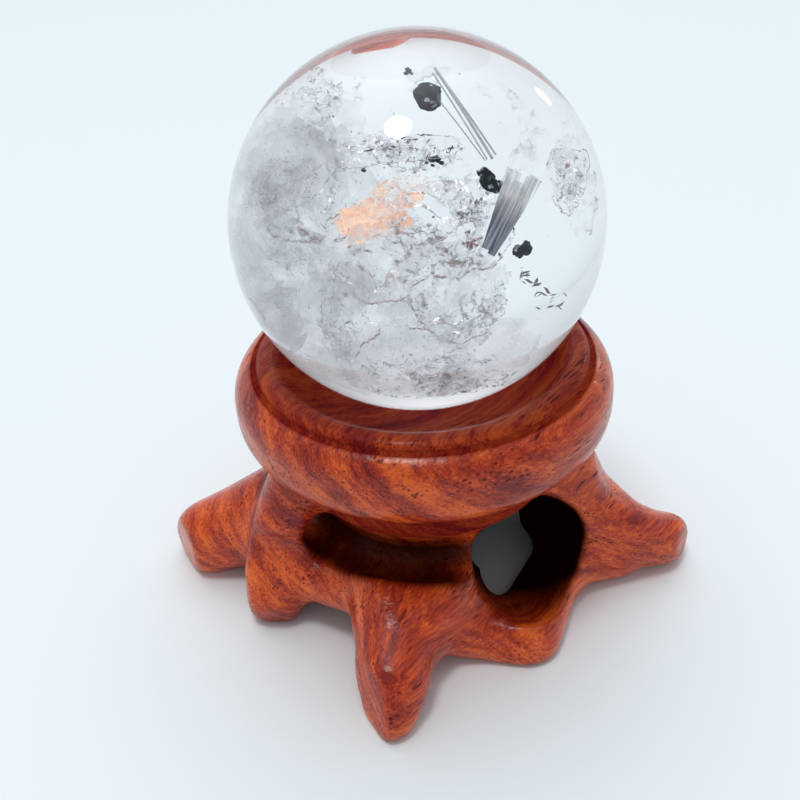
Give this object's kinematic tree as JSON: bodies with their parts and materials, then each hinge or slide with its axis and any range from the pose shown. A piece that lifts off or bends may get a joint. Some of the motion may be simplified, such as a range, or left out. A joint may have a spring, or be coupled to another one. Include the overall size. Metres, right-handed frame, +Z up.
{
  "type": "crystal ball on a carved stand",
  "caption": "Clear included quartz sphere resting in a turned wooden ring cup on a hollow carved root foot with four toes.",
  "frame": {"origin": "on the cup's axis, on the plane that the feet stand on", "axes": "+Z up along the axis of the cup and the sphere, -Y towards the broad front leg, +X towards the right leg"},
  "size_m": [0.0734, 0.0716, 0.0735],
  "materials": {
    "quartz": "polished",
    "dark_mineral": "satin",
    "grey_mineral": "polished",
    "turned_wood": "gloss lacquer",
    "carved_wood": "gloss lacquer"
  },
  "bodies": {
    "stand": {"stand_cup": "turned_wood", "root_foot": "carved_wood"},
    "ball": {"crystal_ball": "quartz", "dark_crystal_top": "dark_mineral", "dark_crystal_small": "dark_mineral", "dark_crystal_long": "dark_mineral", "dark_crystal_low": "dark_mineral", "dark_crystal_middle": "dark_mineral", "dark_crystal_fleck": "dark_mineral", "needle_crystal": "grey_mineral", "blade_crystal": "grey_mineral"}
  },
  "joints": [
    {"name": "ball_lift", "type": "slide", "parent": "stand", "child": "ball", "axis": [0, 0, 1], "range_m": [0, 0.05]}
  ]
}
